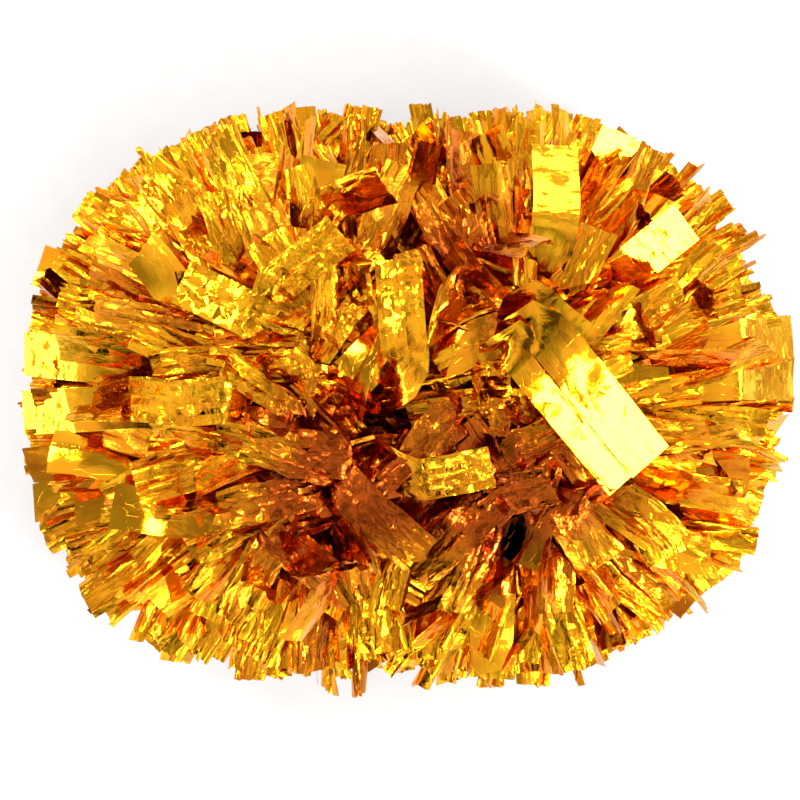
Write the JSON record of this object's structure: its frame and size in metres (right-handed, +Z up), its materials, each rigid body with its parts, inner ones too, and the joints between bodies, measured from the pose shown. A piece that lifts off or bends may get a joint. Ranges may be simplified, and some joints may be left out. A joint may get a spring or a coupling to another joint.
{
  "type": "cheer pom pom",
  "caption": "Double-tuft cheer pom pom of crinkled gold film strips bound with cable ties round a short baton handle, lying on its side.",
  "frame": {"origin": "on the surface that the pom lies on, under the middle of its baton", "axes": "+X along the baton, +Z up from the surface, +Y across the baton"},
  "size_m": [0.3786, 0.291, 0.2068],
  "materials": {
    "film": "vacuum-metallised gold film, crinkled, slit into strips with square-cut ends",
    "bound_film": "the same gold film, wound tight and creased by the tie",
    "handle": "moulded black polypropylene, satin",
    "cap": "moulded black plastic plug, slightly glossier than the handle",
    "tie": "natural nylon"
  },
  "bodies": {
    "baton": {"baton_tube": "handle", "end_cap_right": "cap", "foil_winding_right": "bound_film", "cable_tie_right": "tie", "outer_streamers_right_4": "film", "outer_streamers_right_5": "film", "outer_streamers_right_6": "film", "inner_streamers_right_5": "film", "inner_streamers_right_6": "film", "inner_streamers_right_7": "film", "inner_streamers_right_8": "film", "end_cap_left": "cap", "foil_winding_left": "bound_film", "cable_tie_left": "tie", "outer_streamers_left_4": "film", "outer_streamers_left_5": "film", "outer_streamers_left_6": "film", "inner_streamers_left_5": "film", "inner_streamers_left_6": "film", "inner_streamers_left_7": "film", "inner_streamers_left_8": "film"},
    "outer_bundle_right_1": {"outer_streamers_right_1": "film"},
    "outer_bundle_right_2": {"outer_streamers_right_2": "film"},
    "outer_bundle_right_3": {"outer_streamers_right_3": "film"},
    "inner_bundle_right_1": {"inner_streamers_right_1": "film"},
    "inner_bundle_right_2": {"inner_streamers_right_2": "film"},
    "inner_bundle_right_3": {"inner_streamers_right_3": "film"},
    "inner_bundle_right_4": {"inner_streamers_right_4": "film"},
    "outer_bundle_left_1": {"outer_streamers_left_1": "film"},
    "outer_bundle_left_2": {"outer_streamers_left_2": "film"},
    "outer_bundle_left_3": {"outer_streamers_left_3": "film"},
    "inner_bundle_left_1": {"inner_streamers_left_1": "film"},
    "inner_bundle_left_2": {"inner_streamers_left_2": "film"},
    "inner_bundle_left_3": {"inner_streamers_left_3": "film"},
    "inner_bundle_left_4": {"inner_streamers_left_4": "film"}
  },
  "joints": [
    {"name": "flex_outer_right_1", "type": "hinge", "parent": "baton", "child": "outer_bundle_right_1", "pos_m": [0.046, 0.01559, 0.095], "axis": [0, -0.5, 0.866], "range_deg": [-4, 7], "stiffness_Nm_per_rad": 0.3},
    {"name": "flex_outer_right_2", "type": "hinge", "parent": "baton", "child": "outer_bundle_right_2", "pos_m": [0.046, 0, 0.104], "axis": [0, -1, 0], "range_deg": [-4, 7], "stiffness_Nm_per_rad": 0.3},
    {"name": "flex_outer_right_3", "type": "hinge", "parent": "baton", "child": "outer_bundle_right_3", "pos_m": [0.046, -0.01559, 0.095], "axis": [0, -0.5, -0.866], "range_deg": [-4, 7], "stiffness_Nm_per_rad": 0.3},
    {"name": "flex_inner_right_1", "type": "hinge", "parent": "baton", "child": "inner_bundle_right_1", "pos_m": [0.046, 0.01663, 0.09289], "axis": [0, -0.3827, 0.9239], "range_deg": [-14, 0], "stiffness_Nm_per_rad": 0.3},
    {"name": "flex_inner_right_2", "type": "hinge", "parent": "baton", "child": "inner_bundle_right_2", "pos_m": [0.046, 0.00689, 0.10263], "axis": [0, -0.9239, 0.3827], "range_deg": [-14, 0], "stiffness_Nm_per_rad": 0.3},
    {"name": "flex_inner_right_3", "type": "hinge", "parent": "baton", "child": "inner_bundle_right_3", "pos_m": [0.046, -0.00689, 0.10263], "axis": [0, -0.9239, -0.3827], "range_deg": [-14, 0], "stiffness_Nm_per_rad": 0.3},
    {"name": "flex_inner_right_4", "type": "hinge", "parent": "baton", "child": "inner_bundle_right_4", "pos_m": [0.046, -0.01663, 0.09289], "axis": [0, -0.3827, -0.9239], "range_deg": [-14, 0], "stiffness_Nm_per_rad": 0.3},
    {"name": "flex_outer_left_1", "type": "hinge", "parent": "baton", "child": "outer_bundle_left_1", "pos_m": [-0.046, -0.01559, 0.095], "axis": [0, 0.5, 0.866], "range_deg": [-4, 7], "stiffness_Nm_per_rad": 0.3},
    {"name": "flex_outer_left_2", "type": "hinge", "parent": "baton", "child": "outer_bundle_left_2", "pos_m": [-0.046, 0, 0.104], "axis": [0, 1, 0], "range_deg": [-4, 7], "stiffness_Nm_per_rad": 0.3},
    {"name": "flex_outer_left_3", "type": "hinge", "parent": "baton", "child": "outer_bundle_left_3", "pos_m": [-0.046, 0.01559, 0.095], "axis": [0, 0.5, -0.866], "range_deg": [-4, 7], "stiffness_Nm_per_rad": 0.3},
    {"name": "flex_inner_left_1", "type": "hinge", "parent": "baton", "child": "inner_bundle_left_1", "pos_m": [-0.046, -0.01663, 0.09289], "axis": [0, 0.3827, 0.9239], "range_deg": [-14, 0], "stiffness_Nm_per_rad": 0.3},
    {"name": "flex_inner_left_2", "type": "hinge", "parent": "baton", "child": "inner_bundle_left_2", "pos_m": [-0.046, -0.00689, 0.10263], "axis": [0, 0.9239, 0.3827], "range_deg": [-14, 0], "stiffness_Nm_per_rad": 0.3},
    {"name": "flex_inner_left_3", "type": "hinge", "parent": "baton", "child": "inner_bundle_left_3", "pos_m": [-0.046, 0.00689, 0.10263], "axis": [0, 0.9239, -0.3827], "range_deg": [-14, 0], "stiffness_Nm_per_rad": 0.3},
    {"name": "flex_inner_left_4", "type": "hinge", "parent": "baton", "child": "inner_bundle_left_4", "pos_m": [-0.046, 0.01663, 0.09289], "axis": [0, 0.3827, -0.9239], "range_deg": [-14, 0], "stiffness_Nm_per_rad": 0.3}
  ]
}
